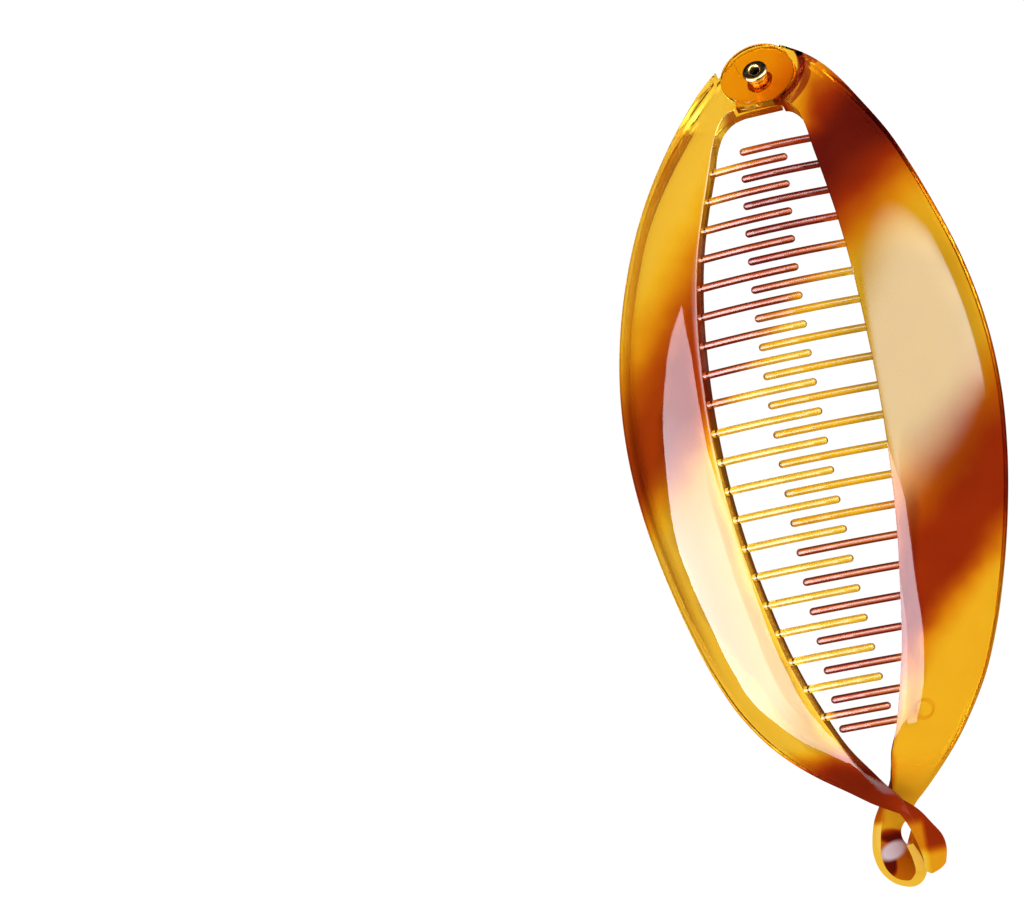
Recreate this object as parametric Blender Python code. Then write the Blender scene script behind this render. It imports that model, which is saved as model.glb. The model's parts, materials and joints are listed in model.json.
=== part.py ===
"""A closed banana hair clip lying as it rests on a table: two arched comb jaws and a hollow rivet.

The clip is drawn in its own frame: X runs across it (the left jaw at -X), Y along it (the hinge at +Y,
the clasp at -Y) and Z out of the arch. The frame's origin is midway between the rivet and the
crossing of the straps. The empty "resting" then rolls the clip onto the places it lies on: the left
flank and the underside of the hinge, and the right jaw's hook.
"""

import math

import bmesh
import bpy
import numpy as np
from mathutils import Matrix

MM = 0.001

# The turn from the clip's own frame to how the closed clip lies.
REST_ROLL = math.radians(-19.3)
REST_PITCH = math.radians(-1.6)

# The hinge. Its axis leans towards the hinge end with the slope of the arch there.
HINGE_ALONG = 67.0 * MM
HINGE_SLOPE = math.radians(30.0)
LUG_RADIUS = 6.9 * MM
LUG_THICKNESS = 1.7 * MM
POCKET_RADIUS = 8.2 * MM
GAP = 0.3 * MM
STACK = 2 * LUG_THICKNESS + GAP
LAP_ACROSS = 4.0 * MM
LAP_TOP = 4.5 * MM
ARCH_TOP = 7.3 * MM
LAP_CLEARANCE = 0.5 * MM
CUT_DEPTH = 8.0 * MM
LUG_SIDES = 40

# The eyelet: a tube rolled over into a flange on each face of the lugs.
TUBE_RADIUS = 1.5 * MM
TUBE_HOLE = 0.95 * MM
FLANGE_RADIUS = 2.4 * MM
FLANGE_HEIGHT = 0.55 * MM
FLANGE_LIP = 0.3 * MM
FLANGE_CROWN = 0.4 * MM
EYELET_SIDES = 24

# The comb.
TEETH = {"left": 20, "right": 21}
FIRST_TOOTH_ALONG = 52.6 * MM
TOOTH_PITCH = 5.335 * MM
TOOTH_REACH = {"left": (4.9 * MM, 5.6 * MM), "right": (4.0 * MM, 4.8 * MM)}  # first and last tooth
TOOTH_WIDTH = 1.4 * MM
TOOTH_THICKNESS = 1.5 * MM
TOOTH_ROOT = 1.0 * MM
TOOTH_LIFT = 0.2 * MM
CROWN_SLOPE = math.tan(math.radians(17.0))
TOOTH_SIDES = 8
TOOTH_BODY = 5
TOOTH_SHOULDER = 0.7  # where the tip's rounding starts, in widths from the tip
TOOTH_TIP = ((0.62, 1.0), (0.25, 0.78), (0.0, 0.38))  # distance from the tip in widths, then scale
COMB_END = -57.0 * MM

# How finely a jaw is lofted: stations on the plate, then on the strap with its hook.
PLATE_STATIONS = 42
STRAP_STATIONS = 34
CELLS_ACROSS = 6
RIM_ROUND = 0.22

AMBER = (0.62, 0.24, 0.03)
BROWN = (0.45, 0.13, 0.02)
BRASS = (0.75, 0.58, 0.32)
GLOSS = 0.12
SATIN = 0.3
SHARP_ANGLE = math.radians(40.0)

# A jaw's sections from the hinge to the clasp, for the right jaw, in millimetres. "inner" is the edge
# that carries the comb and "outer" the other edge; across is measured from the middle plane.
SECTION_COLUMNS = (
    "inner_across", "inner_along", "inner_up",
    "outer_across", "outer_along", "outer_up",
    "bulge", "thickness",
)
HEAD_SECTIONS = {
    "left": (
        (0.20, 60.7, 3.7, 4.5, 71.4, -2.7, 0.0, 3.7),
        (3.00, 60.6, 3.8, 8.2, 68.6, -1.2, 0.1, 3.7),
        (5.50, 60.0, 4.1, 10.9, 66.0, -0.9, 0.3, 3.6),
        (7.30, 58.3, 4.9, 13.6, 63.0, -0.6, 0.7, 3.2),
    ),
    "right": (
        (0.20, 60.7, 3.7, 4.8, 71.7, -2.9, 0.0, 3.7),
        (3.00, 60.6, 3.8, 8.8, 69.1, -1.5, 0.1, 3.7),
        (5.50, 60.0, 4.1, 11.6, 66.4, -1.0, 0.3, 3.6),
        (7.30, 58.3, 4.9, 14.0, 63.2, -0.6, 0.7, 3.2),
    ),
}
PLATE_SECTIONS = (
    (8.70, 55.2, 6.2, 17.2, 58.4, 0.6, 1.3, 2.7),
    (9.90, 50.2, 7.9, 21.8, 51.2, 2.8, 1.9, 2.3),
    (11.5, 43.6, 10.4, 25.4, 43.8, 5.0, 2.3, 2.1),
    (13.2, 35.5, 13.3, 28.6, 35.5, 6.3, 2.6, 2.1),
    (14.6, 25.1, 15.8, 31.8, 25.1, 6.8, 2.9, 2.1),
    (15.4, 13.0, 17.4, 34.0, 13.0, 7.0, 3.0, 2.1),
    (15.6, 1.30, 17.8, 34.5, 1.30, 7.1, 3.0, 2.1),
    (15.1, -10.3, 17.3, 33.5, -10.3, 7.3, 3.0, 2.1),
    (14.0, -21.1, 16.2, 31.5, -21.1, 7.2, 2.8, 2.1),
    (12.4, -31.0, 14.8, 29.0, -31.0, 7.2, 2.5, 2.1),
    (10.4, -40.9, 12.6, 25.8, -40.9, 7.2, 2.0, 2.1),
    (8.10, -48.6, 10.7, 22.3, -48.6, 6.6, 1.6, 2.1),
    (5.70, -55.0, 8.6, 17.5, -55.6, 5.0, 1.0, 2.1),
)
STRAP_SECTIONS = {
    "left": (
        (3.60, -59.4, 7.4, 12.2, -60.8, 2.6, 0.5, 2.1),
        (1.40, -63.0, 6.4, 6.5, -64.9, 1.8, 0.2, 2.1),
        (-0.40, -65.9, 5.6, 2.5, -67.7, 1.8, 0.0, 2.1),
        (-1.90, -68.4, 4.6, -0.6, -69.6, 1.0, -0.3, 2.1),
        (-3.00, -71.3, 3.3, -3.2, -71.3, -1.2, -0.6, 2.2),
        (-3.70, -74.1, 2.0, -4.9, -74.1, -3.6, -0.8, 2.2),
        (-4.00, -76.8, 0.6, -6.1, -76.3, -5.0, -0.8, 2.2),
        (-4.20, -79.4, -0.9, -6.3, -78.2, -6.0, -0.6, 2.0),
        (-3.90, -82.3, -2.5, -5.7, -80.8, -7.0, -0.4, 1.6),
    ),
    "right": (
        (3.10, -59.9, 6.0, 12.2, -61.2, 1.6, 0.5, 2.1),
        (1.60, -63.6, 2.9, 7.0, -65.9, -1.4, 0.2, 2.1),
        (0.20, -66.6, 0.4, 3.1, -69.0, -4.0, 0.0, 2.1),
        (-1.90, -69.3, -0.5, 1.3, -70.9, -5.2, 0.0, 2.0),
        (-3.40, -71.9, -1.1, -0.6, -72.4, -6.0, 0.0, 2.0),
        (-4.40, -74.8, -1.9, -1.5, -73.9, -6.8, 0.0, 2.0),
        (-5.00, -77.7, -2.9, -1.5, -75.5, -7.6, 0.0, 2.0),
        (-4.40, -80.9, -4.0, -0.8, -77.0, -8.6, 0.0, 2.0),
        (-2.40, -83.1, -5.0, 0.3, -78.1, -9.5, 0.0, 2.0),
        (0.00, -83.7, -5.4, 1.5, -78.2, -9.9, 0.0, 2.0),
        (1.80, -82.4, -5.0, 2.4, -77.1, -9.6, 0.0, 2.0),
        (2.00, -79.6, -4.1, 2.3, -75.3, -8.9, 0.0, 1.8),
        (1.30, -76.7, -3.0, 1.8, -73.3, -8.0, 0.0, 1.4),
    ),
}


def clear_scene():
    for thing in list(bpy.data.objects):
        bpy.data.objects.remove(thing, do_unlink=True)


def finish_material(name, colour, roughness, metallic=0.0):
    material = bpy.data.materials.new(name)
    material.use_nodes = True
    shader = material.node_tree.nodes["Principled BSDF"]
    shader.inputs["Base Color"].default_value = (*colour, 1.0)
    shader.inputs["Roughness"].default_value = roughness
    shader.inputs["Metallic"].default_value = metallic
    return material


def hinge_frame():
    """The hinge's own frame: its Z is the joint's axis, its origin midway between the two lugs."""
    return Matrix.Translation((0.0, HINGE_ALONG, 0.0)) @ Matrix.Rotation(-HINGE_SLOPE, 4, "X")


def section_table(side):
    """The jaw's sections in metres, one row for each."""
    rows = np.array(HEAD_SECTIONS[side] + PLATE_SECTIONS + STRAP_SECTIONS[side])
    assert rows.shape[1] == len(SECTION_COLUMNS)
    return rows * MM


def lofted_rows(side):
    """Rows on a smooth curve through the given ones, set closer along the strap, which curls."""
    rows = section_table(side)
    middle = (rows[:, 0:3] + rows[:, 3:6]) / 2
    steps = np.linalg.norm(np.diff(middle, axis=0), axis=1)
    knots = np.concatenate([[0.0], np.cumsum(steps)])
    slopes = np.gradient(rows, knots, axis=0)
    strap = knots[len(rows) - len(STRAP_SECTIONS[side])]
    plate_places = np.linspace(0.0, strap, PLATE_STATIONS, endpoint=False)
    found = []
    for place in np.append(plate_places, np.linspace(strap, knots[-1], STRAP_STATIONS)):
        i = min(int(np.searchsorted(knots, place, side="right")) - 1, len(rows) - 2)
        span = knots[i + 1] - knots[i]
        t = (place - knots[i]) / span
        found.append(
            (2 * t**3 - 3 * t**2 + 1) * rows[i]
            + (t**3 - 2 * t**2 + t) * span * slopes[i]
            + (3 * t**2 - 2 * t**3) * rows[i + 1]
            + (t**3 - t**2) * span * slopes[i + 1]
        )
    return np.array(found)


def unit(vectors):
    return vectors / np.linalg.norm(vectors, axis=-1, keepdims=True)


def middle_surface(rows):
    """The plate's middle surface as a grid of points, with its outward normals."""
    inner = rows[:, None, 0:3]
    chord = rows[:, None, 3:6] - inner
    tangent = np.gradient(rows[:, 0:3] + rows[:, 3:6], axis=0)[:, None, :]
    outward = unit(np.cross(tangent, chord))
    v = np.linspace(0.0, 1.0, CELLS_ACROSS + 1)[None, :, None]
    grid = inner + chord * v + outward * rows[:, None, 6:7] * 4 * v * (1 - v)
    along = np.gradient(grid, axis=0)
    across = np.gradient(grid, axis=1)
    return grid, unit(np.cross(along, across))


def loft(name, rings):
    """A closed body through rings of equal length, with a face over each end ring."""
    mesh = bpy.data.meshes.new(name)
    body = bmesh.new()
    loops = [[body.verts.new(point) for point in ring] for ring in rings]
    for near, far in zip(loops, loops[1:]):
        for k in range(len(near)):
            after = (k + 1) % len(near)
            body.faces.new((near[k], near[after], far[after], far[k]))
    body.faces.new(reversed(loops[0]))
    body.faces.new(loops[-1])
    bmesh.ops.triangulate(body, faces=body.faces[:])
    bmesh.ops.recalc_face_normals(body, faces=body.faces[:])
    body.to_mesh(mesh)
    body.free()
    return mesh


def add_object(name, mesh, helper=False):
    thing = bpy.data.objects.new(name, mesh)
    bpy.context.scene.collection.objects.link(thing)
    if helper:
        thing.hide_render = True
        thing.display_type = "WIRE"
    elif mesh:
        mesh.shade_smooth()
        mesh.set_sharp_from_angle(angle=SHARP_ANGLE)
    return thing


def plate_mesh(side, sign):
    """Plate, strap and hook of one jaw as one loft in the clip's frame."""
    rows = lofted_rows(side)
    grid, normals = middle_surface(rows)
    half = rows[:, None, 7:8] / 2
    top = grid + normals * half
    under = grid - normals * half
    outwards = unit(grid[:, -1] - grid[:, -2])
    inwards = unit(grid[:, 0] - grid[:, 1])
    rim = rows[:, 7:8] * RIM_ROUND
    outer_rim = (grid[:, -1] + outwards * rim)[:, None]
    inner_rim = (grid[:, 0] + inwards * rim)[:, None]
    rings = np.concatenate([top, outer_rim, under[:, ::-1], inner_rim], axis=1)
    rings[..., 0] *= sign
    return loft(side + "_plate", rings)


def comb_edge(side, along):
    """Across and up of the comb edge at a place along the clip."""
    rows = lofted_rows(side)
    rows = rows[rows[:, 1] > COMB_END][::-1]
    return np.interp(along, rows[:, 1], rows[:, 0]), np.interp(along, rows[:, 1], rows[:, 2])


def crown_up(side, across, along):
    """Height of the comb's surface, which carries the arch on over the opening."""
    edge, edge_up = comb_edge(side, along)
    return edge_up + CROWN_SLOPE * (edge - across * across / edge) / 2


def tooth_places(side):
    first = FIRST_TOOTH_ALONG - (TOOTH_PITCH / 2 if side == "left" else 0.0)
    return [first - i * TOOTH_PITCH for i in range(TEETH[side])]


def tooth_tip(side, along):
    """How far past the middle plane a tooth reaches, as a negative distance across."""
    places = tooth_places(side)
    return -float(np.interp(-along, (-places[0], -places[-1]), TOOTH_REACH[side]))


def tooth_rings(side, along, sign):
    """Sections of one tooth from inside the plate's edge to its rounded tip."""
    edge, _ = comb_edge(side, along)
    start = edge + TOOTH_ROOT
    tip = tooth_tip(side, along)
    shoulder = tip + TOOTH_SHOULDER * TOOTH_WIDTH
    stops = [(start + (shoulder - start) * i / TOOTH_BODY, 1.0) for i in range(TOOTH_BODY)]
    stops += [(tip + back * TOOTH_WIDTH, scale) for back, scale in TOOTH_TIP]
    lean = (crown_up(side, 0.0, along + MM) - crown_up(side, 0.0, along - MM)) / (2 * MM)
    squared = 1.0 / math.cos(math.pi / TOOTH_SIDES)
    wide = unit(np.array([0.0, 1.0, lean]))
    thick = unit(np.array([0.0, -lean, 1.0]))
    rings = []
    for across, scale in stops:
        centre = np.array([across, along, crown_up(side, across, along)]) + thick * TOOTH_LIFT
        ring = []
        for k in range(TOOTH_SIDES):
            turn = 2 * math.pi * (k + 0.5) / TOOTH_SIDES
            point = (
                centre
                + wide * math.cos(turn) * squared * scale * TOOTH_WIDTH / 2
                + thick * math.sin(turn) * squared * scale * TOOTH_THICKNESS / 2
            )
            ring.append((point[0] * sign, point[1], point[2]))
        rings.append(ring)
    return rings


def comb_mesh(side, sign):
    """All the teeth of one jaw, as loose closed bodies in one mesh."""
    whole = bmesh.new()
    for along in tooth_places(side):
        whole.from_mesh(loft("tooth", tooth_rings(side, along, sign)))
    mesh = bpy.data.meshes.new(side + "_comb")
    whole.to_mesh(mesh)
    whole.free()
    return mesh


def prism_mesh(name, outline, low, high):
    """An upright prism in the hinge's frame."""
    rings = [[(x, y, z) for x, y in outline] for z in (low, high)]
    return loft(name, rings)


def circle(radius, sides):
    return [
        (radius * math.cos(2 * math.pi * i / sides), radius * math.sin(2 * math.pi * i / sides))
        for i in range(sides)
    ]


def strip(one_end, other_end, bottom):
    """Outline of the strip of lug that laps the other jaw, between the pin and the opening."""
    low, high = sorted((one_end, other_end))
    return [(low, bottom), (high, bottom), (high, -LAP_TOP), (low, -LAP_TOP)]


def combine(body, operation, mesh, frame):
    """Joins to the body, or cuts from it, a mesh that is drawn in the given frame."""
    other = add_object(mesh.name, mesh, helper=True)
    other.parent = body.parent
    other.matrix_parent_inverse = body.matrix_parent_inverse.copy()
    other.matrix_basis = frame
    modifier = body.modifiers.new(mesh.name, "BOOLEAN")
    modifier.operation = operation
    modifier.solver = "EXACT"
    modifier.object = other


def make_jaw(side, parent, material):
    """One moulding: plate, strap and hook, half-lap lug with its bore, and the comb."""
    sign = 1.0 if side == "right" else -1.0  # across the clip, and up the stack: the right lug is on top
    body = add_object(side + "_jaw", plate_mesh(side, sign))
    body.data.transform(hinge_frame().inverted())
    body.parent = parent
    low, high = sorted((sign * GAP / 2, sign * STACK / 2))
    cut_low, cut_high = sorted((sign * GAP / 2, -sign * CUT_DEPTH))
    beside = strip(sign * (LAP_ACROSS + LAP_CLEARANCE), -sign * LAP_ACROSS, -2 * ARCH_TOP)
    over = strip(-LAP_ACROSS, LAP_ACROSS, -ARCH_TOP)
    here = Matrix.Identity(4)
    pocket = circle(POCKET_RADIUS, LUG_SIDES)
    combine(body, "DIFFERENCE", prism_mesh(side + "_pocket", pocket, cut_low, cut_high), here)
    combine(body, "DIFFERENCE", prism_mesh(side + "_notch", beside, cut_low, cut_high), here)
    combine(body, "UNION", prism_mesh(side + "_disc", circle(LUG_RADIUS, LUG_SIDES), low, high), here)
    combine(body, "UNION", prism_mesh(side + "_lap", over, low, high), here)
    bore = circle(TUBE_RADIUS + GAP, EYELET_SIDES)
    combine(body, "DIFFERENCE", prism_mesh(side + "_bore", bore, -CUT_DEPTH, CUT_DEPTH), here)
    combine(body, "UNION", comb_mesh(side, sign), hinge_frame().inverted())
    body.data.materials.append(material)
    return body


def eyelet_mesh():
    """The eyelet's profile turned about the hinge axis."""
    face = STACK / 2 + GAP
    profile = (
        (TUBE_HOLE, face + 0.5 * FLANGE_HEIGHT),
        (TUBE_HOLE + FLANGE_LIP, face + FLANGE_HEIGHT),
        (FLANGE_RADIUS - FLANGE_CROWN, face + FLANGE_HEIGHT),
        (FLANGE_RADIUS, face + 0.35 * FLANGE_HEIGHT),
        (FLANGE_RADIUS, face),
        (TUBE_RADIUS, face),
    )
    outline = list(profile) + [(radius, -height) for radius, height in reversed(profile)]
    mesh = bpy.data.meshes.new("rivet")
    body = bmesh.new()
    loops = []
    for i in range(EYELET_SIDES):
        turn = 2 * math.pi * i / EYELET_SIDES
        loops.append([body.verts.new((r * math.cos(turn), r * math.sin(turn), z)) for r, z in outline])
    for i, loop in enumerate(loops):
        following = loops[(i + 1) % EYELET_SIDES]
        for k in range(len(outline)):
            after = (k + 1) % len(outline)
            body.faces.new((loop[k], following[k], following[after], loop[after]))
    bmesh.ops.recalc_face_normals(body, faces=body.faces[:])
    body.to_mesh(mesh)
    body.free()
    return mesh


def box_of(things):
    """Lowest and highest corner of the evaluated pieces, in the world."""
    bpy.context.view_layer.update()
    graph = bpy.context.evaluated_depsgraph_get()
    points = []
    for thing in things:
        evaluated = thing.evaluated_get(graph)
        points += [evaluated.matrix_world @ vertex.co for vertex in evaluated.to_mesh().vertices]
        evaluated.to_mesh_clear()
    return np.min(points, axis=0), np.max(points, axis=0)


def main():
    clear_scene()
    resting = add_object("resting", None)
    resting.matrix_world = Matrix.Rotation(REST_PITCH, 4, "X") @ Matrix.Rotation(REST_ROLL, 4, "Y")
    hinge = add_object("hinge", None)
    hinge.parent = resting
    hinge.matrix_basis = hinge_frame()
    right = make_jaw("right", hinge, finish_material("amber_plastic", AMBER, GLOSS))
    left = make_jaw("left", hinge, finish_material("tortoiseshell_plastic", BROWN, GLOSS))
    rivet = add_object("rivet", eyelet_mesh())
    rivet.parent = hinge
    rivet.data.materials.append(finish_material("brass", BRASS, SATIN, metallic=1.0))
    low, high = box_of((left, right, rivet))
    resting.location = (-(low[0] + high[0]) / 2, -(low[1] + high[1]) / 2, -low[2])


main()
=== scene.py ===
import json
import math

import bpy
import numpy as np
from mathutils import Matrix, Vector


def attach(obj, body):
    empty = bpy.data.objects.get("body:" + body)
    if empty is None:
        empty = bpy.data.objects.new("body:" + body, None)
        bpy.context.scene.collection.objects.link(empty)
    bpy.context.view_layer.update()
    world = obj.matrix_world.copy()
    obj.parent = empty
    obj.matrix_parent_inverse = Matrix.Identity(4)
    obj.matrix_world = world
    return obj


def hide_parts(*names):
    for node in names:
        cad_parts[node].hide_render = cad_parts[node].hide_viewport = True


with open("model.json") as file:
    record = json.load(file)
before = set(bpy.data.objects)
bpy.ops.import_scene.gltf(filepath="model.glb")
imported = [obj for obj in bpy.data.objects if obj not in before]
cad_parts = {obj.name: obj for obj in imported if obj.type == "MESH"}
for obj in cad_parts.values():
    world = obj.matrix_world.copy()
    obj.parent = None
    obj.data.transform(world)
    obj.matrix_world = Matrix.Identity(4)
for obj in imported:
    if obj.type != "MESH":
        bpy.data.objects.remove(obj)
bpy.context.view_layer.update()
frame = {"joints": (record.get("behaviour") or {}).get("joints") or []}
bpy.ops.object.select_all(action="DESELECT")

# Banana hair clip: two arched comb jaws moulded in amber and red-brown tortoiseshell plastic, and the
# hollow brass rivet they swing on. The jaws are drawn in the clip's own frame, X across it, Y along it
# from the hooks to the hinge and Z out of the arch, and then laid down as the closed clip rests.

MM = 0.001

REST_ROLL = math.radians(-19.3)
REST_PITCH = math.radians(-1.6)

HINGE_ALONG = 67.0 * MM
HINGE_SLOPE = math.radians(30.0)
LUG_RADIUS = 6.9 * MM
LUG_THICKNESS = 1.7 * MM
POCKET_RADIUS = 8.2 * MM
GAP = 0.3 * MM
STACK = 2 * LUG_THICKNESS + GAP
LAP_ACROSS = 4.0 * MM
LAP_TOP = 4.5 * MM
ARCH_TOP = 7.3 * MM
LAP_CLEARANCE = 0.5 * MM
LAP_SINK = 0.05 * MM
CUT_DEPTH = 8.0 * MM

TUBE_RADIUS = 1.5 * MM
TUBE_HOLE = 0.95 * MM
FLANGE_RADIUS = 2.4 * MM
FLANGE_HEIGHT = 0.55 * MM
FLANGE_CROWN = 0.3 * MM

TEETH = {"left": 20, "right": 21}
FIRST_TOOTH_ALONG = 52.6 * MM
TOOTH_PITCH = 5.335 * MM
TOOTH_REACH = {"left": (4.9 * MM, 5.6 * MM), "right": (4.0 * MM, 4.8 * MM)}
TOOTH_WIDTH = 1.42 * MM
TOOTH_THICKNESS = 1.5 * MM
TOOTH_ROOT = 1.0 * MM
TOOTH_LIFT = 0.2 * MM
CROWN_SLOPE = math.tan(math.radians(17.0))
COMB_END = -57.0 * MM

# The pattern tooth's sides and rings, the radius of its tip in widths of a tooth, and the degrees at
# which the round of the tip has a ring
TOOTH_SIDES = 16
TOOTH_RINGS = 10
TIP_RADIUS = 0.5
TIP_TURNS = (0, 20, 40, 58, 72, 83)

PLATE_STATIONS = 110
STRAP_STATIONS = 96
CELLS_ACROSS = 12
CYLINDER_SIDES = 96
BORE_SIDES = 48
SPIN_STEPS = 72
THICKEST = 4.0 * MM
BULGE_GAIN = 1.05
BULGE_SKEW = 0.1
WALL_LEAN = 0.5 * MM
RIM_ROUND = 0.42 * MM
LUG_ROUND = 0.22 * MM
MERGE = 0.0005 * MM

# The sections of a jaw in millimetres, from the hinge to the hook: the edge with the teeth and the
# outer edge, each as across, along and up, then how far the plate bulges between them and how thick
# it is. Both jaws are drawn on the right-hand side, and the left one is then mirrored.
HEADS = {
    "left": (
        (0.20, 60.7, 3.7, 4.5, 71.4, -2.7, 0.0, 3.7),
        (3.00, 60.6, 3.8, 8.2, 68.6, -1.2, 0.1, 3.7),
        (5.50, 60.0, 4.1, 10.9, 66.0, -0.9, 0.3, 3.6),
        (7.30, 58.3, 4.9, 13.6, 63.0, -0.6, 0.7, 3.2),
    ),
    "right": (
        (0.20, 60.7, 3.7, 4.8, 71.7, -2.9, 0.0, 3.7),
        (3.00, 60.6, 3.8, 8.8, 69.1, -1.5, 0.1, 3.7),
        (5.50, 60.0, 4.1, 11.6, 66.4, -1.0, 0.3, 3.6),
        (7.30, 58.3, 4.9, 14.0, 63.2, -0.6, 0.7, 3.2),
    ),
}
PLATE = (
    (8.70, 55.2, 6.2, 17.2, 58.4, 0.6, 1.3, 2.7),
    (9.90, 50.2, 7.9, 21.8, 51.2, 2.8, 1.9, 2.3),
    (11.5, 43.6, 10.4, 25.4, 43.8, 5.0, 2.3, 2.1),
    (13.2, 35.5, 13.3, 28.6, 35.5, 6.3, 2.6, 2.1),
    (14.6, 25.1, 15.8, 31.8, 25.1, 6.8, 2.9, 2.1),
    (15.4, 13.0, 17.4, 34.0, 13.0, 7.0, 3.0, 2.1),
    (15.6, 1.30, 17.8, 34.5, 1.30, 7.1, 3.0, 2.1),
    (15.1, -10.3, 17.3, 33.5, -10.3, 7.3, 3.0, 2.1),
    (14.0, -21.1, 16.2, 31.5, -21.1, 7.2, 2.8, 2.1),
    (12.4, -31.0, 14.8, 29.0, -31.0, 7.2, 2.5, 2.1),
    (10.4, -40.9, 12.6, 25.8, -40.9, 7.2, 2.0, 2.1),
    (8.10, -48.6, 10.7, 22.3, -48.6, 6.6, 1.6, 2.1),
    (5.70, -55.0, 8.6, 17.5, -55.6, 5.0, 1.0, 2.1),
)
STRAPS = {
    "left": (
        (3.60, -59.4, 7.4, 12.2, -60.8, 2.6, 0.5, 2.1),
        (1.40, -63.0, 6.4, 6.5, -64.9, 1.8, 0.2, 2.1),
        (-0.40, -65.9, 5.6, 2.5, -67.7, 1.8, 0.0, 2.1),
        (-1.90, -68.4, 4.6, -0.6, -69.6, 1.0, -0.3, 2.1),
        (-3.00, -71.3, 3.3, -3.2, -71.3, -1.2, -0.6, 2.2),
        (-3.70, -74.1, 2.0, -4.9, -74.1, -3.6, -0.8, 2.2),
        (-4.00, -76.8, 0.6, -6.1, -76.3, -5.0, -0.8, 2.2),
        (-4.20, -79.4, -0.9, -6.3, -78.2, -6.0, -0.6, 2.0),
        (-3.90, -82.3, -2.5, -5.7, -80.8, -7.0, -0.4, 1.6),
    ),
    "right": (
        (3.10, -59.9, 6.0, 12.2, -61.2, 1.6, 0.5, 2.1),
        (1.60, -63.6, 2.9, 7.0, -65.9, -1.4, 0.2, 2.1),
        (0.20, -66.6, 0.4, 3.1, -69.0, -4.0, 0.0, 2.1),
        (-1.90, -69.3, -0.5, 1.3, -70.9, -5.2, 0.0, 2.0),
        (-3.40, -71.9, -1.1, -0.6, -72.4, -6.0, 0.0, 2.0),
        (-4.40, -74.8, -1.9, -1.5, -73.9, -6.8, 0.0, 2.0),
        (-5.00, -77.7, -2.9, -1.5, -75.5, -7.6, 0.0, 2.0),
        (-4.40, -80.9, -4.0, -0.8, -77.0, -8.6, 0.0, 2.0),
        (-2.40, -83.1, -5.0, 0.3, -78.1, -9.5, 0.0, 2.0),
        (0.00, -83.7, -5.4, 1.5, -78.2, -9.9, 0.0, 2.0),
        (1.80, -82.4, -5.0, 2.4, -77.1, -9.6, 0.0, 2.0),
        (2.00, -79.6, -4.1, 2.3, -75.3, -8.9, 0.0, 1.8),
        (1.30, -76.7, -3.0, 1.8, -73.3, -8.0, 0.0, 1.4),
    ),
}


# Workbench

def only(thing):
    """Selects this object alone and makes it active."""
    bpy.ops.object.select_all(action="DESELECT")
    thing.select_set(True)
    bpy.context.view_layer.objects.active = thing


def settle(thing):
    """Puts the object's place, turn and size into its mesh."""
    only(thing)
    bpy.ops.object.transform_apply(location=True, rotation=True, scale=True)


def made(name):
    """The primitive that was just added, settled and named."""
    thing = bpy.context.object
    thing.name = name
    settle(thing)
    return thing


def modify(thing, kind, **settings):
    """Adds a modifier and applies it."""
    modifier = thing.modifiers.new(kind.lower(), kind)
    for name, value in settings.items():
        setattr(modifier, name, value)
    only(thing)
    bpy.ops.object.modifier_apply(modifier=modifier.name)


def combine(thing, operation, other):
    """Joins the other solid to this one, or cuts it away, and removes it."""
    modify(thing, "BOOLEAN", operation=operation, solver="EXACT", object=other)
    bpy.data.objects.remove(other, do_unlink=True)


def round_edges(thing, width, segments, sharper_than_deg):
    """Rounds the edges that turn more sharply than this."""
    sharp = math.radians(sharper_than_deg)
    modify(thing, "BEVEL", width=width, segments=segments, limit_method="ANGLE", angle_limit=sharp)


def smooth(thing, flatter_than_deg):
    """Shades the faces smoothly across the edges that are flatter than this."""
    only(thing)
    bpy.ops.object.shade_smooth_by_angle(angle=math.radians(flatter_than_deg))


def clean(thing, merge=MERGE):
    """Merges doubles and points every face outwards."""
    only(thing)
    bpy.ops.object.mode_set(mode="EDIT")
    bpy.ops.mesh.select_all(action="SELECT")
    bpy.ops.mesh.remove_doubles(threshold=merge)
    bpy.ops.mesh.normals_make_consistent(inside=False)
    bpy.ops.object.mode_set(mode="OBJECT")


# Frames

# The hinge's Z is the axis that the jaws turn on. The clip is laid down so that its hinge comes where
# the model's joint is.
HINGE = Matrix.Translation((0.0, HINGE_ALONG, 0.0)) @ Matrix.Rotation(-HINGE_SLOPE, 4, "X")
LAID_DOWN = Matrix.Rotation(REST_PITCH, 4, "X") @ Matrix.Rotation(REST_ROLL, 4, "Y")
REST_PLACE = Vector(frame["joints"][0]["pos_m"]) - LAID_DOWN @ HINGE.translation
RESTING = Matrix.Translation(REST_PLACE) @ LAID_DOWN


def hinge_cylinder(name, radius, low, high, sides=CYLINDER_SIDES):
    """A cylinder on the hinge's axis."""
    bpy.ops.mesh.primitive_cylinder_add(
        vertices=sides,
        radius=radius,
        depth=high - low,
        location=HINGE @ Vector((0.0, 0.0, (low + high) / 2)),
        rotation=(-HINGE_SLOPE, 0.0, 0.0),
    )
    return made(name)


def hinge_block(name, low, high):
    """A block in the hinge's frame between two corners."""
    centre = [(a + b) / 2 for a, b in zip(low, high)]
    bpy.ops.mesh.primitive_cube_add(
        size=1.0,
        location=HINGE @ Vector(centre),
        rotation=(-HINGE_SLOPE, 0.0, 0.0),
        scale=[b - a for a, b in zip(low, high)],
    )
    return made(name)


# Jaws

def unit(vectors):
    """The vectors, made one long."""
    return vectors / np.linalg.norm(vectors, axis=-1, keepdims=True)


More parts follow.
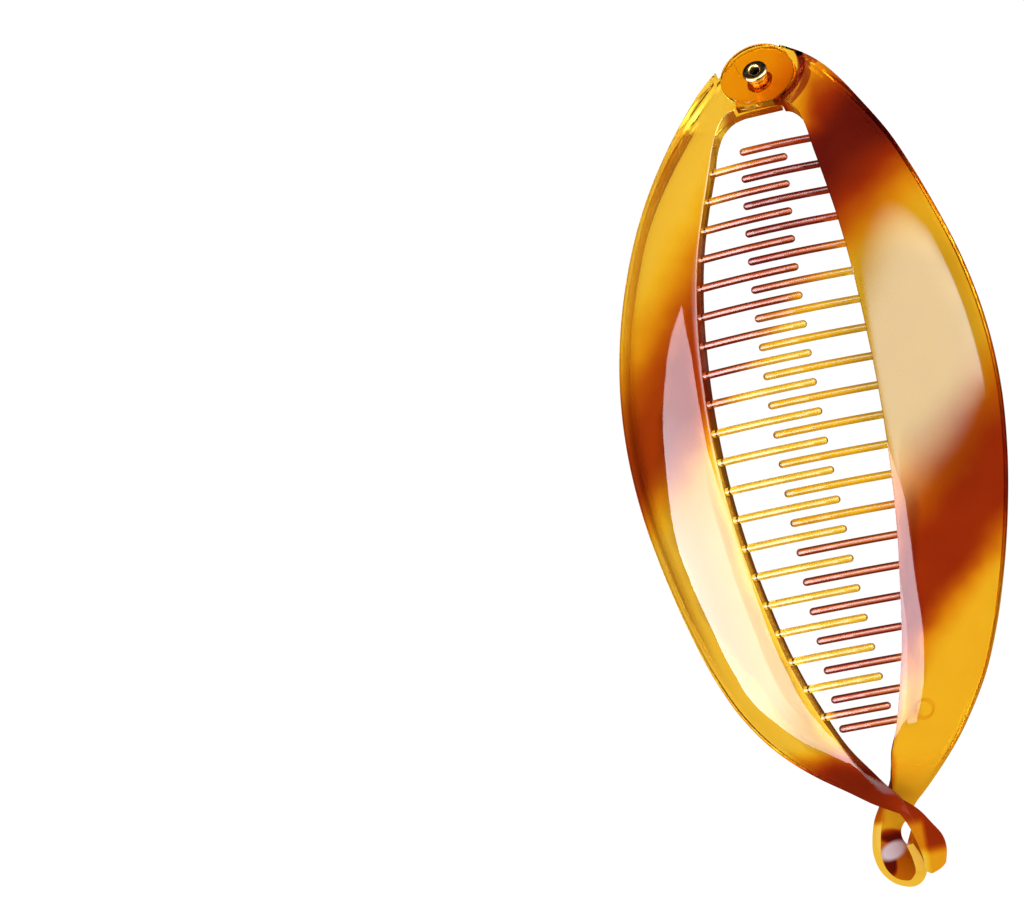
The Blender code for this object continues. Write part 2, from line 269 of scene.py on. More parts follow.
def section_rows(side):
    """Sections on a smooth curve through the given ones, set closer along the strap, which curls."""
    rows = np.array(HEADS[side] + PLATE + STRAPS[side]) * MM
    middle = (rows[:, 0:3] + rows[:, 3:6]) / 2
    knots = np.concatenate([[0.0], np.cumsum(np.linalg.norm(np.diff(middle, axis=0), axis=1))])
    slopes = np.gradient(rows, knots, axis=0)
    strap = knots[len(rows) - len(STRAPS[side])]
    places = np.append(
        np.linspace(0.0, strap, PLATE_STATIONS, endpoint=False),
        np.linspace(strap, knots[-1], STRAP_STATIONS),
    )
    found = []
    for place in places:
        i = min(int(np.searchsorted(knots, place, side="right")) - 1, len(rows) - 2)
        span = knots[i + 1] - knots[i]
        t = (place - knots[i]) / span
        found.append(
            (2 * t**3 - 3 * t**2 + 1) * rows[i]
            + (t**3 - 2 * t**2 + t) * span * slopes[i]
            + (3 * t**2 - 2 * t**3) * rows[i + 1]
            + (t**3 - t**2) * span * slopes[i + 1]
        )
    return np.array(found)


def middle_surface(rows):
    """The plate's middle surface, as points by station and by place across."""
    inner = rows[:, None, 0:3]
    chord = rows[:, None, 3:6] - inner
    tangent = np.gradient(rows[:, 0:3] + rows[:, 3:6], axis=0)[:, None, :]
    outward = unit(np.cross(tangent, chord))
    v = np.linspace(0.0, 1.0, CELLS_ACROSS + 1)[None, :, None]
    profile = 4 * v * (1 - v) * (1 + BULGE_SKEW * (2 * v - 1))
    return inner + chord * v + outward * rows[:, None, 6:7] * BULGE_GAIN * profile


def comb_part(along):
    """1 beside the teeth, falling to 0 at the hinge and at the strap."""
    return np.interp(along, (-58 * MM, -50 * MM, 50 * MM, 58 * MM), (0.0, 1.0, 1.0, 0.0))


def lean_comb_wall(plate, sign):
    """Slopes the wall that carries the teeth: its upper edge goes back, its lower edge into the opening.

    The solid has every point of the grid twice, and both lots are in the same order.
    """
    wall = plate.vertex_groups["comb_wall"].index
    points = len(plate.data.vertices) // 2
    for index in range(points):
        pair = plate.data.vertices[index], plate.data.vertices[index + points]
        weight = max((g.weight for g in pair[0].groups if g.group == wall), default=0.0)
        if weight == 0.0:
            continue
        lower, upper = sorted(pair, key=lambda vertex: vertex.co.z)
        upper.co.x += sign * WALL_LEAN * weight
        lower.co.x -= sign * WALL_LEAN * weight


def make_plate(side, sign):
    """Plate, strap and hook: a grid laid over the sections, given its thickness and rounded rims."""
    rows = section_rows(side)
    surface = middle_surface(rows)
    surface[..., 0] *= sign
    cells_along = len(rows) - 1
    bpy.ops.mesh.primitive_grid_add(x_subdivisions=cells_along, y_subdivisions=CELLS_ACROSS, size=1.0)
    plate = made(side + "_jaw_shell")
    thickness = plate.vertex_groups.new(name="thickness")
    comb_wall = plate.vertex_groups.new(name="comb_wall")
    for vertex in plate.data.vertices:
        station = round((vertex.co.x + 0.5) * cells_along)
        across = round((vertex.co.y + 0.5) * CELLS_ACROSS)
        thickness.add([vertex.index], rows[station, 7] / THICKEST, "REPLACE")
        if across == 0:
            comb_wall.add([vertex.index], float(comb_part(rows[station, 1])), "REPLACE")
        vertex.co = surface[station, across]
    modify(plate, "SOLIDIFY", thickness=THICKEST, offset=0.0, vertex_group="thickness")
    if side == "left":
        lean_comb_wall(plate, sign)
    clean(plate)
    round_edges(plate, RIM_ROUND, segments=4, sharper_than_deg=50.0)
    return plate


def cut_hinge(jaw, sign):
    """Halves the jaw's head and gives it its round lug, the lap beside the opening and the bore.

    The lap's faces are sunk a little below the lug's, so that the two join cleanly.
    """
    low, high = sorted((sign * GAP / 2, sign * STACK / 2))
    cut_low, cut_high = sorted((sign * GAP / 2, -sign * CUT_DEPTH))
    near, far = sorted((sign * (LAP_ACROSS + LAP_CLEARANCE), -sign * LAP_ACROSS))
    pocket = hinge_cylinder("pocket", POCKET_RADIUS, cut_low, cut_high)
    notch = hinge_block("notch", (near, -2 * ARCH_TOP, cut_low), (far, -LAP_TOP, cut_high))
    lug = hinge_cylinder("lug", LUG_RADIUS, low, high)
    round_edges(lug, LUG_ROUND, segments=3, sharper_than_deg=60.0)
    lap = hinge_block(
        "lap", (-LAP_ACROSS, -ARCH_TOP, low + LAP_SINK), (LAP_ACROSS, -LAP_TOP, high - LAP_SINK)
    )
    bore = hinge_cylinder("bore", TUBE_RADIUS + GAP, -CUT_DEPTH, CUT_DEPTH, BORE_SIDES)
    combine(jaw, "DIFFERENCE", pocket)
    combine(jaw, "DIFFERENCE", notch)
    combine(jaw, "UNION", lug)
    combine(jaw, "UNION", lap)
    combine(jaw, "DIFFERENCE", bore)


# Comb

def pattern_tooth():
    """A round bar one wide, with its root at X = 0, its shoulder at 1 and a round tip past that."""
    bpy.ops.mesh.primitive_circle_add(
        vertices=TOOTH_SIDES, radius=0.5, fill_type="NGON", rotation=(0.0, math.pi / 2, 0.0)
    )
    tooth = made("tooth")
    bpy.ops.object.mode_set(mode="EDIT")
    bpy.ops.mesh.select_all(action="SELECT")
    for _ in range(TOOTH_RINGS):
        bpy.ops.mesh.extrude_region_move(TRANSFORM_OT_translate={"value": (1 / TOOTH_RINGS, 0, 0)})
    turns = [math.radians(turn) for turn in TIP_TURNS]
    for before, after in zip(turns, turns[1:]):
        step = TIP_RADIUS * (math.sin(after) - math.sin(before))
        narrower = math.cos(after) / math.cos(before)
        bpy.ops.mesh.extrude_region_move(TRANSFORM_OT_translate={"value": (step, 0, 0)})
        bpy.ops.transform.resize(value=(1.0, narrower, narrower))
    bpy.ops.object.mode_set(mode="OBJECT")
    clean(tooth)
    return tooth


def comb_edge(rows, along):
    """How far across and up the plate's edge is at a place along it."""
    return np.interp(along, rows[:, 1], rows[:, 0]), np.interp(along, rows[:, 1], rows[:, 2])


def crown_up(rows, across, along):
    """Height of the comb's surface, which carries the plate's arch on over the opening."""
    edge, edge_up = comb_edge(rows, along)
    return edge_up + CROWN_SLOPE * (edge - across * across / edge) / 2


def make_comb(side, sign, pattern):
    """Copies of the pattern tooth, each stretched from the plate's edge to its own reach."""
    rows = section_rows(side)
    rows = rows[rows[:, 1] > COMB_END][::-1]
    first = FIRST_TOOTH_ALONG - (TOOTH_PITCH / 2 if side == "left" else 0.0)
    places = [first - i * TOOTH_PITCH for i in range(TEETH[side])]
    shape = np.array([vertex.co for vertex in pattern.data.vertices])
    teeth = []
    for along in places:
        edge, _ = comb_edge(rows, along)
        start = edge + TOOTH_ROOT
        reach = np.interp(-along, (-places[0], -places[-1]), TOOTH_REACH[side])
        shoulder = -reach + TIP_RADIUS * TOOTH_WIDTH
        body = np.clip(shape[:, 0], 0.0, 1.0)
        across = start + (shoulder - start) * body - (shape[:, 0] - body) * TOOTH_WIDTH
        lean = (crown_up(rows, 0.0, along + MM) - crown_up(rows, 0.0, along - MM)) / (2 * MM)
        wide = unit(np.array([0.0, 1.0, lean]))
        thick = unit(np.array([0.0, -lean, 1.0]))
        points = np.stack([across, np.full_like(across, along), crown_up(rows, across, along)], axis=1)
        points += wide * shape[:, 1:2] * TOOTH_WIDTH
        points += thick * (shape[:, 2:3] * TOOTH_THICKNESS + TOOTH_LIFT)
        points[:, 0] *= sign
        tooth = pattern.copy()
        tooth.data = pattern.data.copy()
        bpy.context.scene.collection.objects.link(tooth)
        tooth.data.vertices.foreach_set("co", points.ravel())
        teeth.append(tooth)
    only(teeth[0])
    for tooth in teeth:
        tooth.select_set(True)
    bpy.ops.object.join()
    comb = bpy.context.object
    clean(comb)
    return comb


def make_jaw(side, sign, pattern):
    """A whole jaw in its place. The sign is 1 for the right one and -1 for the left one."""
    jaw = make_plate(side, sign)
    cut_hinge(jaw, sign)
    combine(jaw, "UNION", make_comb(side, sign, pattern))
    jaw.matrix_world = RESTING
    settle(jaw)
    clean(jaw)
    smooth(jaw, flatter_than_deg=38.0)
    return jaw


# Rivet

def make_rivet():
    """The eyelet: its section turned about the hinge's axis."""
    face = STACK / 2 + GAP
    height, crown = FLANGE_HEIGHT, FLANGE_CROWN
    lip = (TUBE_HOLE + FLANGE_RADIUS) / 2
    upper = [
        (TUBE_HOLE, 0.0),
        (TUBE_HOLE, face - 0.1 * MM),
        (TUBE_HOLE + 0.06 * MM, face + 0.55 * height),
        (TUBE_HOLE + 0.25 * MM, face + 0.88 * height),
        (lip, face + height),
        (FLANGE_RADIUS - crown, face + 0.86 * height),
        (FLANGE_RADIUS - 0.25 * crown, face + 0.5 * height),
        (FLANGE_RADIUS, face + 0.2 * height),
        (FLANGE_RADIUS - 0.15 * crown, face),
        (TUBE_RADIUS, face),
    ]
    section = upper + [(radius, -up) for radius, up in reversed(upper[1:])]
    bpy.ops.mesh.primitive_circle_add(vertices=len(section), radius=1.0)
    rivet = made("hollow_rivet")
    for vertex, (radius, up) in zip(rivet.data.vertices, section):
        vertex.co = (radius, 0.0, up)
    bpy.ops.object.mode_set(mode="EDIT")
    bpy.ops.mesh.select_all(action="SELECT")
    bpy.ops.mesh.spin(steps=SPIN_STEPS, angle=2 * math.pi, center=(0, 0, 0), axis=(0, 0, 1))
    bpy.ops.object.mode_set(mode="OBJECT")
    clean(rivet, merge=4 * MERGE)
    rivet.matrix_world = RESTING @ HINGE
    settle(rivet)
    smooth(rivet, flatter_than_deg=50.0)
    return rivet


# Finishes

class Wire:
    """A socket that gives a value. Sums and products of wires add their Math nodes."""

    def __init__(self, tree, socket=None):
        self.tree = tree
        self.socket = socket

    def add(self, kind, settings, values, output=0):
        """Adds a node: its settings first, then the values or links of its sockets."""
        node = self.tree.nodes.new(kind)
        for name, value in settings.items():
            if name == "stops":
                ramp = node.color_ramp.elements
                while len(ramp) < len(value):
                    ramp.new(1.0)
                for stop, (place, colour) in zip(ramp, value):
                    stop.position = place
                    stop.color = (*colour, 1.0)
            else:
                setattr(node, name, value)
        for name, value in values.items():
            if isinstance(value, Wire):
                self.tree.links.new(value.socket, node.inputs[name])
            else:
                node.inputs[name].default_value = value
        return Wire(self.tree, node.outputs[output])

    def maths(self, operation, *values):
        """A Math node on these wires and numbers."""
        return self.add("ShaderNodeMath", {"operation": operation}, dict(enumerate(values)))

    def __add__(self, other):
        return self.maths("ADD", self, other)

    __radd__ = __add__

    def __sub__(self, other):
        return self.maths("SUBTRACT", self, other)

    def __rsub__(self, other):
        return self.maths("SUBTRACT", other, self)

    def __neg__(self):
        return 0 - self

    def __mul__(self, other):
        return self.maths("MULTIPLY", self, other)

    __rmul__ = __mul__

    def __truediv__(self, other):
        return self.maths("DIVIDE", self, other)

    def __pow__(self, other):
        return self.maths("POWER", self, other)

    def squared(self):
        return self * self

    def size(self):
        """This value without its sign."""
        return self.maths("ABSOLUTE", self)

    def larger(self, *others):
        """The largest of this value and the others."""
        found = self
        for other in others:
            found = self.maths("MAXIMUM", found, other)
        return found

    def rise(self, start, end):
        """Goes smoothly from 0 where this value is at start to 1 where it is at end."""
        return self.add(
            "ShaderNodeMapRange",
            {"interpolation_type": "SMOOTHSTEP", "clamp": True},
            {"Value": self, "From Min": start, "From Max": end},
        )

    def fall(self, start, end):
        """Goes smoothly from 1 where this value is at start to 0 where it is at end."""
        return 1 - self.rise(start, end)

    def minus(self, vector):
        """This vector less another."""
        return self.add("ShaderNodeVectorMath", {"operation": "SUBTRACT"}, {0: self, 1: vector})

    def along(self, vector):
        """How far this vector reaches along another."""
        return self.add(
            "ShaderNodeVectorMath", {"operation": "DOT_PRODUCT"}, {0: self, 1: tuple(vector)}, "Value"
        )

    def parts(self):
        """The X, Y and Z of a vector."""
        node = self.add("ShaderNodeSeparateXYZ", {}, {"Vector": self}).socket.node
        return [Wire(self.tree, output) for output in node.outputs]

    def ramp(self, stops):
        """The colour at this value, between stops that are each a place and a colour."""
        return self.add("ShaderNodeValToRGB", {"stops": stops}, {"Fac": self})

    def mixed(self, other, amount, blend="MIX"):
        """This colour, changed into the other or multiplied by it, by this amount."""
        if not isinstance(other, Wire):
            other = (*other, 1.0)
        return self.add(
            "ShaderNodeMix", {"data_type": "RGBA", "blend_type": blend}, {0: amount, 6: self, 7: other}, 2
        )

    def noise(self, scale, detail=2.0):
        """Soft clouds from 0 to 1 over these places. The scale is how many there are to a millimetre."""
        return self.add("ShaderNodeTexNoise", {}, {"Vector": self, "Scale": scale, "Detail": detail})

    def bump(self, strength):
        """A normal that is roughened by this height."""
        return self.add(
            "ShaderNodeBump", {}, {"Height": self, "Strength": strength, "Distance": BUMP_HEIGHT}
        )


def new_finish(name):
    """An empty material, with a wire to draw from."""
    material = bpy.data.materials.new(name)
    material.use_nodes = True
    material.node_tree.nodes.clear()
    return material, Wire(material.node_tree)


def finish_surface(wire, shader):
    """Gives the material this shader."""
    output = wire.tree.nodes.new("ShaderNodeOutputMaterial")
    wire.tree.links.new(shader.socket, output.inputs["Surface"])


def place_in_mm(wire):
    """Where a point of the surface is, in millimetres."""
    place = wire.add("ShaderNodeTexCoord", {}, {}, "Object")
    return wire.add("ShaderNodeMapping", {}, {"Vector": place, "Scale": (1 / MM, 1 / MM, 1 / MM)})


def way_it_faces(wire):
    """The way that the surface looks, as a vector one long."""
    return wire.add("ShaderNodeTexCoord", {}, {}, "Normal")


def distance(u, v):
    """How far a point with these two coordinates is from their origin."""
    return (u.squared() + v.squared()) ** 0.5


def spot(x, y, centre, radii, turn_deg, soft):
    """An oval stain, 1 in its middle and 0 outside. It fades by this part of its radii on both sides."""
    turn = math.radians(turn_deg)
    from_x, from_y = x - centre[0], y - centre[1]
    u = (from_x * math.cos(turn) + from_y * math.sin(turn)) / radii[0]
    v = (from_y * math.cos(turn) - from_x * math.sin(turn)) / radii[1]
    return distance(u, v).fall(1 - soft, 1 + soft)


def ring(from_centre, radius, half_width):
    """A round line, 1 in its middle and falling to 0 at half its width on both sides."""
    return (from_centre - radius).size().fall(0.5 * half_width, half_width)


HONEY = (0.94, 0.60, 0.07)
YELLOW_AMBER = (0.90, 0.47, 0.016)
DEEP_AMBER = (0.76, 0.26, 0.005)
ORANGE_BROWN = (0.52, 0.095, 0.003)
# Also used for painted shade on the wall beside the hinge
RED_BROWN = (0.33, 0.026, 0.003)
DARK_BROWN = (0.13, 0.008, 0.004)
# Painted shade on the teeth's flanks and on the wall that carries them
MAROON_SHADE = (0.12, 0.008, 0.006)
# Painted shade beside the comb
COMB_SIDE_SHADE_TINT = (0.67, 0.63, 0.85)
# Painted shade over the middle of the right jaw
VEIL_SHADE_TINT = (0.59, 0.60, 0.85)
# Painted highlight on the tops of the brown teeth
SALMON_HIGHLIGHT = (1.0, 0.42, 0.33)
# Painted reflection inside the right hook
LILAC_REFLECTION = (0.86, 0.76, 0.86)
TARNISHED_BRASS = (0.30, 0.17, 0.06)
BRIGHT_BRASS = (0.66, 0.45, 0.20)

# Colours of the plastic by the amount of stain in it
STAINED = (
    (0.0, HONEY),
    (0.22, YELLOW_AMBER),
    (0.42, DEEP_AMBER),
    (0.62, ORANGE_BROWN),
    (0.8, RED_BROWN),
    (1.0, DARK_BROWN),
)

BUMP_HEIGHT = 0.2 * MM
STAIN_DRIFT = 5.0
MARK_ACROSS, MARK_ALONG = 10.1, -47.4
MARK_RADIUS = 1.6
# Radius of the painted curve of shade round the lug
SHADE_ARC_RADIUS = POCKET_RADIUS / MM + 0.6

HINGE_IN_WORLD = RESTING @ HINGE
HINGE_PLACE = tuple(HINGE_IN_WORLD.translation / MM)


def tortoiseshell(name, stains_and_painted_light, comb_way):
    """Clear moulded plastic, coloured from honey to dark brown by how much stain runs through it.

    The teeth's flanks, the wall that carries them and the wall beside the hinge are darkened by
    painted shade that follows the way they face, and the tops of the brown teeth carry a painted salmon
    highlight. These walls and flanks, the outer flank and the strap are cloudy too. comb_way is 1 where
    the wall with the teeth looks towards +X and -1 where it looks towards -X.
    """
    material, wire = new_finish(name)
    in_mm = place_in_mm(wire)
    x, y, _ = in_mm.parts()
    facing_x, facing_y, facing_z = way_it_faces(wire).parts()
    to_opening = facing_x * comb_way

    stain, on_teeth, painted_light_layers = stains_and_painted_light(in_mm)
    stain = stain + (in_mm.noise(0.16, 3.0) - 0.5) * 0.08
    colour = stain.ramp(STAINED)
    # Painted shade and a painted reflection laid over the colour
    for painted_layer in painted_light_layers:
        colour = colour.mixed(*painted_layer)

    on_teeth = on_teeth * y.rise(-56.0, -54.0) * y.fall(57.0, 60.0)
    brown_tooth = on_teeth * stain.rise(0.3, 0.6)
    # Painted shade on the teeth's flanks, by the way the surface faces
    tooth_flank_shade = facing_y.size().rise(0.3, 0.65) * (on_teeth * 0.4 + brown_tooth * 0.5)
    # Painted highlight on the tops of the brown teeth
    tooth_top_highlight = facing_y.size().fall(0.08, 0.35) * brown_tooth * 0.6
    # Painted shade on the wall that carries the teeth, where it faces the opening
    comb_wall = y.rise(-66.0, -60.0) * y.fall(60.0, 64.0) * to_opening.rise(0.35, 0.75)
    comb_wall = comb_wall * (0.85 - y.rise(0.0, 30.0) * 0.3)
    # Painted shade on the wall beside the hinge, where it faces the hooks
    hinge_wall_shade = y.rise(52.0, 56.0) * y.fall(66.0, 67.5) * (-facing_y).rise(0.35, 0.7)
    colour = colour.mixed(SALMON_HIGHLIGHT, tooth_top_highlight).mixed(MAROON_SHADE, tooth_flank_shade)
    colour = colour.mixed(MAROON_SHADE, comb_wall).mixed(RED_BROWN, hinge_wall_shade * 0.85)

    off_lug = 1 - spot(x, y, HINGE_PLACE[:2], (13.0, 13.0), 0.0, 0.1)
    outer_flank = facing_z.size().fall(0.3, 0.5) * (-to_opening).rise(0.0, 0.3) * off_lug
    strap = y.fall(-64.0, -53.0) * 0.93
    cloudy = (outer_flank * 0.4).larger(strap, hinge_wall_shade * 0.8, tooth_flank_shade, comb_wall * 0.75)
    clear = wire.add(
        "ShaderNodeBsdfPrincipled",
        {},
        {
            "Base Color": colour,
            "Roughness": 0.04,
            "IOR": 1.5,
            "Transmission Weight": 1.0,
            "Normal": in_mm.noise(0.15, 1.0).bump(0.05),
        },
    )
    milky = wire.add(
        "ShaderNodeBsdfPrincipled", {}, {"Base Color": colour, "Roughness": 0.5, "Specular IOR Level": 0.0}
    )
    finish_surface(wire, wire.add("ShaderNodeMixShader", {}, {0: cloudy, 1: clear, 2: milky}))
    return material


def drifted(in_mm):
    """X and Y with an irregular drift, for the edges of the stains."""
    x, y, _ = in_mm.parts()
    return x + (in_mm.noise(0.09) - 0.5) * STAIN_DRIFT, y + (in_mm.noise(0.11) - 0.5) * STAIN_DRIFT


def left_stains_and_shade(in_mm):
    """The left jaw's stain, where its teeth are, and the painted shade laid over it.

    Yellow amber with one slanting brown band, painted shade beside the comb, brown last teeth and a
    brown strap. The hook is orange-brown, redder on its right side and honey at its tip.
    """
    x, y = drifted(in_mm)
    straight_x, straight_y, _ = in_mm.parts()
    band = (x * 0.80 - y * 0.595).rise(-44.0, -30.0) * (x * 0.754 - y * 0.657).fall(-25.0, -15.0)
    edge = (y - 12.0).squared() * 0.0034 - 19.2
    in_opening = (x - edge).rise(0.5, 2.5)
    low_teeth = in_opening * y.fall(-45.0, -41.0)
    strap = y.fall(-57.0, -50.0)
    stain = 0.14 + (band * 0.62).larger(low_teeth * 0.5, strap * 0.74)
    stain = stain * (1 - in_opening * 0.08)

    hook = straight_y.fall(-68.4, -66.4)
    hook_right = straight_x.rise(6.4, 7.8)
    hook_tip = straight_y.fall(-74.2, -71.8)
    stain = stain * (1 - hook) + (0.47 + hook_right * 0.34 - hook_tip * 0.45) * hook

    # Painted shade: the plastic is darkened in a band beside the comb
    from_comb = edge - x
    comb_side_shade_width = 10.8 - (straight_y + 15.0).squared() * 0.0045
    comb_side_shade = from_comb.rise(0.5, 2.0) * (from_comb - comb_side_shade_width).fall(-1.0, 0.3)
    comb_side_shade = comb_side_shade * straight_y.rise(-56.0, -50.0)
    return stain, in_opening, [(COMB_SIDE_SHADE_TINT, comb_side_shade, "MULTIPLY")]


def right_stains_and_painted_light(in_mm):
    """The right jaw's stain with painted shade and light in it, where its teeth are, and the painted shade
    and reflection laid over it.

    Amber with two slanting brown bands, painted shade between them and beside the comb, brown teeth
    towards the clasp, a painted curve of shade round the lug and a round mould mark. The hook is amber
    and then orange-brown, with two painted dark places of shade, a painted lilac reflection and a
    honey rim, which is painted light where it faces up, left and towards the hook's end.
    """
    x, y = drifted(in_mm)
    straight_x, straight_y, _ = in_mm.parts()
    slant = y * 0.819 - x * 0.574
    head_band = slant.rise(18.0, 36.0) * slant.fall(40.0, 58.0)
    steep_slant = (y - x) * 0.707
    middle_band = steep_slant.rise(-38.0, -29.0) * steep_slant.fall(-24.0, -8.0)
    edge = 12.3 - (y - 5.0).squared() * 0.002
    in_opening = (edge - x).rise(0.5, 2.5)
    low_teeth = in_opening * y.fall(-19.0, -9.0)
    lug = x.fall(8.0, 12.0) * y.rise(58.0, 62.0)
    mark = ring(distance(straight_x - MARK_ACROSS, straight_y - MARK_ALONG), MARK_RADIUS, 0.3)
    # Painted shade: a dark curve round the lug
    from_hinge = in_mm.minus(HINGE_PLACE)
    sideways = from_hinge.along(HINGE_IN_WORLD.col[0].to_3d())
    endways = from_hinge.along(HINGE_IN_WORLD.col[1].to_3d())
    shade_arc = ring(distance(sideways, endways), SHADE_ARC_RADIUS, 0.95)
    stain = 0.25 + (head_band * 0.74).larger(middle_band * 0.56, low_teeth * 0.42)
    # The painted curve of shade goes into the stain
    stain = (stain * (1 - in_opening * 0.08 - lug * 0.4) + mark * 0.14).larger(shade_arc)

    hook = straight_y.fall(-67.5, -66.0)
    # Painted light: the hook's rim is lighter where it faces up, left and towards the hook's end
    hook_rim_light = way_it_faces(in_mm).along((-0.51, -0.55, 0.66)).rise(0.55, 0.85)
    hook_end = straight_y.fall(-69.5, -68.0)
    # Painted shade: two dark places inside the hook
    upper_hook_shade = spot(straight_x, straight_y, (2.1, -69.4), (2.8, 1.3), -15.0, 0.3)
    lower_hook_shade = spot(straight_x, straight_y, (0.9, -74.3), (1.2, 2.2), 0.0, 0.3)
    hook_stain_and_painted_light = 0.22 + hook_end * 0.32 + upper_hook_shade.larger(lower_hook_shade) * 0.45
    hook_stain_and_painted_light = hook_stain_and_painted_light * (1 - hook_rim_light) + 0.12 * hook_rim_light
    stain = stain * (1 - hook) + hook_stain_and_painted_light * hook

    # Painted reflection: a lilac patch inside the hook
    painted_reflection = spot(straight_x, straight_y, (1.9, -72.1), (2.6, 1.5), 15.0, 0.3) * (1 - hook_rim_light)
    # Painted shade over the middle of the jaw
    shade_under_veil = spot(x, y, (18.5, 16.0), (12.5, 23.5), 0.0, 0.4)
    # Painted shade beside the comb
    from_comb = x - edge
    comb_side_shade = from_comb.rise(-0.5, 0.5) * from_comb.fall(1.4, 2.8)
    comb_side_shade = comb_side_shade * straight_y.rise(-51.0, -47.0) * straight_y.fall(-12.0, -6.0)
    return stain, in_opening, [(VEIL_SHADE_TINT, shade_under_veil, "MULTIPLY"), (COMB_SIDE_SHADE_TINT, comb_side_shade, "MULTIPLY"), (LILAC_REFLECTION, painted_reflection)]


def brass(name):
    """Satin brass, duller in some patches and brighter in others."""
    material, wire = new_finish(name)
    in_mm = place_in_mm(wire)
    wear = in_mm.noise(1.6, 4.0)
    shader = wire.add(
        "ShaderNodeBsdfPrincipled",
        {},
        {
            "Base Color": wear.ramp(((0.3, TARNISHED_BRASS), (0.7, BRIGHT_BRASS))),
            "Metallic": 1.0,
            "Roughness": 0.16 + wear * 0.2,
            "Normal": in_mm.noise(3.0).bump(0.2),
        },
    )
    finish_surface(wire, shader)
    return material


# Pieces

tooth = pattern_tooth()
left_jaw = make_jaw("left", -1.0, tooth)
right_jaw = make_jaw("right", 1.0, tooth)
bpy.data.objects.remove(tooth, do_unlink=True)
rivet = make_rivet()

left_plastic = tortoiseshell("left_shell", left_stains_and_shade, 1.0)
right_plastic = tortoiseshell("right_shell", right_stains_and_painted_light, -1.0)
eyelet_brass = brass("eyelet_brass")

for piece, node, body, slot, finish in (
    (left_jaw, "left_jaw", "left_half", "tortoiseshell_plastic", left_plastic),
    (right_jaw, "right_jaw", "right_half", "amber_plastic", right_plastic),
    (rivet, "rivet", "right_half", "brass", eyelet_brass),
):
    piece.data.materials.clear()
    piece.data.materials.append(finish)
    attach(piece, body)
    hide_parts(node)


# Floor, light and camera

# The floor is far enough below the clip for the open jaw, which swings down past the surface that
# the closed clip lies on.
FLOOR_UP = -0.125
FLOOR_SIZE = 6.0

CAMERA_PLACE = (-0.0735077, -0.0447398, 0.7182424)
CAMERA_TURN = (0.0832421, -0.0130019, -0.1716052)
SENSOR_WIDTH = 36.0
LENS = 136.83
NEAREST_SEEN = 0.01

SOFTBOX_UP = 1.2
STRIP_UP = 1.1
WALL_AWAY = 1.5
PURE_WHITE = (1.0, 1.0, 1.0, 1.0)
LILAC_WHITE = (0.95, 0.90, 1.0)
COOL_WHITE = (0.72, 0.92, 1.0)
EVEN = ((0.0, 1.0), (1.0, 1.0))
SHARP = (0.001, 0.001, 0.001, 0.001)


def make_floor():
    """A plain white floor. It glows, so that it stays as white as the photograph's ground."""
    bpy.ops.mesh.primitive_plane_add(size=FLOOR_SIZE, location=(0.0, 0.0, FLOOR_UP))
    floor = made("white_floor")
    material, wire = new_finish("white_floor")
    shader = wire.add(
        "ShaderNodeBsdfPrincipled",
        {},
        {
            "Base Color": (0.12, 0.12, 0.12, 1.0),
            "Roughness": 0.9,
            "Specular IOR Level": 0.0,
            "Emission Color": PURE_WHITE,
            "Emission Strength": 0.91,
        },
    )
    finish_surface(wire, shader)
    floor.data.materials.append(material)
    floor.visible_glossy = False


def make_camera():
    """The photograph's view of the clip, from above."""
    data = bpy.data.cameras.new("camera")
    camera = bpy.data.objects.new("camera", data)
    bpy.context.scene.collection.objects.link(camera)
    data.sensor_width = SENSOR_WIDTH
    data.lens = LENS
    data.clip_start = NEAREST_SEEN
    camera.location = CAMERA_PLACE
    camera.rotation_euler = CAMERA_TURN
    bpy.context.scene.camera = camera


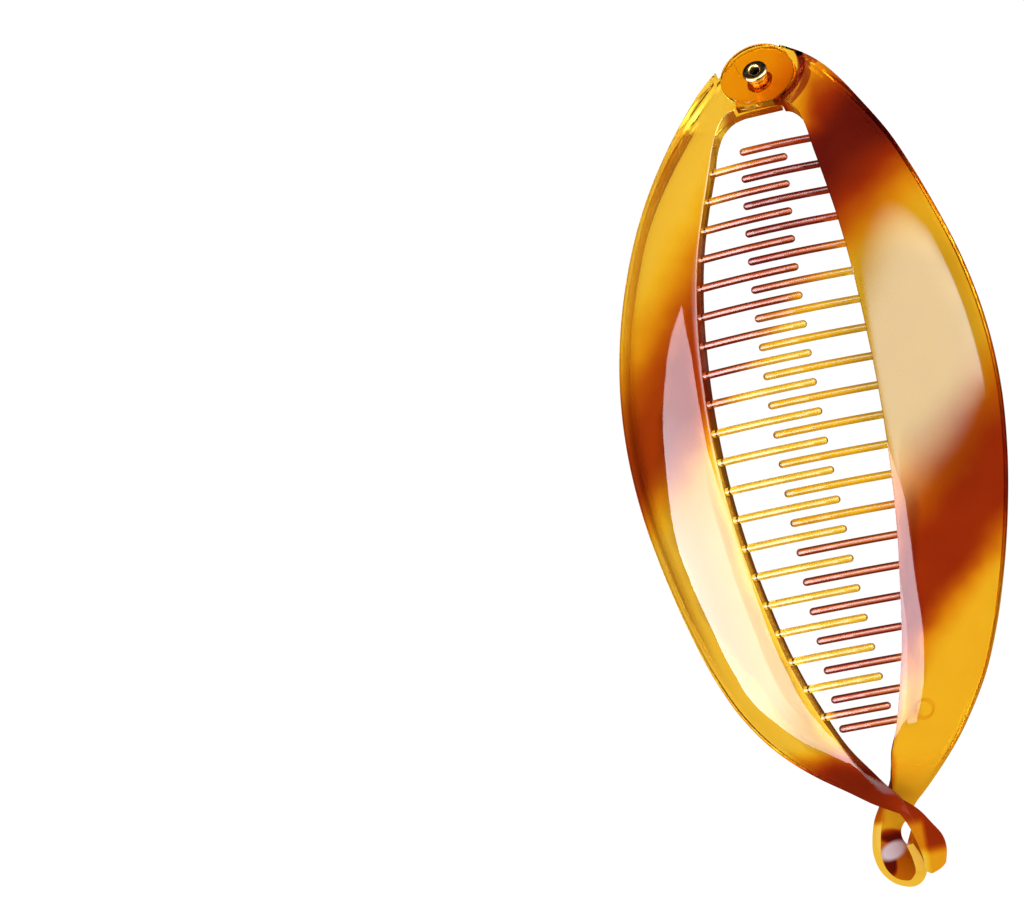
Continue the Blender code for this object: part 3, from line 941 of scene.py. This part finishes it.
def softbox(name, corners, colour, levels, strength, fades):
    """A lit panel beside or over the clip, seen only in reflections and through the plastic.

    The corners go from low X and Y of the panel to high X, then again at high Y. The levels are pairs of
    a place along the world's Y, from 0 to 1, and a part of the strength. The light fades out over the
    four widths: at low X, high X, low Y and high Y.
    """
    bpy.ops.mesh.primitive_plane_add(size=1.0)
    panel = made(name)
    for vertex, corner in zip(panel.data.vertices, corners):
        vertex.co = corner
    material, wire = new_finish(name)
    x, y, _ = wire.add("ShaderNodeTexCoord", {}, {}, "UV").parts()
    lit = x.rise(0.0, fades[0]) * x.rise(1.0, 1.0 - fades[1])
    lit = lit * y.rise(0.0, fades[2]) * y.rise(1.0, 1.0 - fades[3])
    _, along, _ = wire.add("ShaderNodeTexCoord", {}, {}, "Generated").parts()
    glow = along.ramp([(place, [part * level for part in colour]) for place, level in levels])
    light = wire.add("ShaderNodeEmission", {}, {"Color": glow, "Strength": strength})
    nothing = wire.add("ShaderNodeBsdfTransparent", {}, {})
    finish_surface(wire, wire.add("ShaderNodeMixShader", {}, {0: lit, 1: nothing, 2: light}))
    panel.data.materials.append(material)
    panel.visible_camera = False
    panel.visible_diffuse = False


def overhead(up, *tangents):
    """Corners of a level panel at this height, given as tangents of their angles from straight up."""
    return [(x * up, y * up, up) for x, y in tangents]


def beside(*tangents):
    """Corners of a panel that stands to the left, given as tangents: along the clip and up."""
    return [(-WALL_AWAY, y * WALL_AWAY, z * WALL_AWAY) for y, z in tangents]


def light_all_round():
    """Even white light from everywhere, which polished surfaces don't mirror."""
    world = bpy.data.worlds.new("studio")
    bpy.context.scene.world = world
    world.use_nodes = True
    background = world.node_tree.nodes["Background"]
    background.inputs["Color"].default_value = PURE_WHITE
    background.inputs["Strength"].default_value = 1.0
    world.cycles_visibility.glossy = False


make_floor()
make_camera()
softbox(
    "left_softbox",
    beside((-0.15, -0.17), (-1.5, 0.58), (0.79, 1.0), (-1.5, 1.4)),
    colour=LILAC_WHITE,
    levels=((0.1, 0.46), (0.4, 1.0), (0.58, 1.0), (0.75, 0.56)),
    strength=14.0,
    fades=SHARP,
)
softbox(
    "strip_light",
    overhead(STRIP_UP, (-0.66, -1.3), (-0.50, -1.4), (-1.12, 0.24), (-0.46, -0.12)),
    colour=LILAC_WHITE,
    levels=((0.2, 0.6), (0.5, 1.0)),
    strength=9.0,
    fades=(0.01, 0.02, 0.03, 0.01),
)
softbox(
    "overhead_softbox",
    overhead(SOFTBOX_UP, (-0.75, -0.22), (3.4, 0.25), (-0.75, 0.78), (3.4, 2.3)),
    colour=COOL_WHITE,
    levels=EVEN,
    strength=7.45,
    fades=(0.06, 0.15, 0.125, 0.58),
)
light_all_round()
bpy.context.scene.view_settings.view_transform = "Standard"
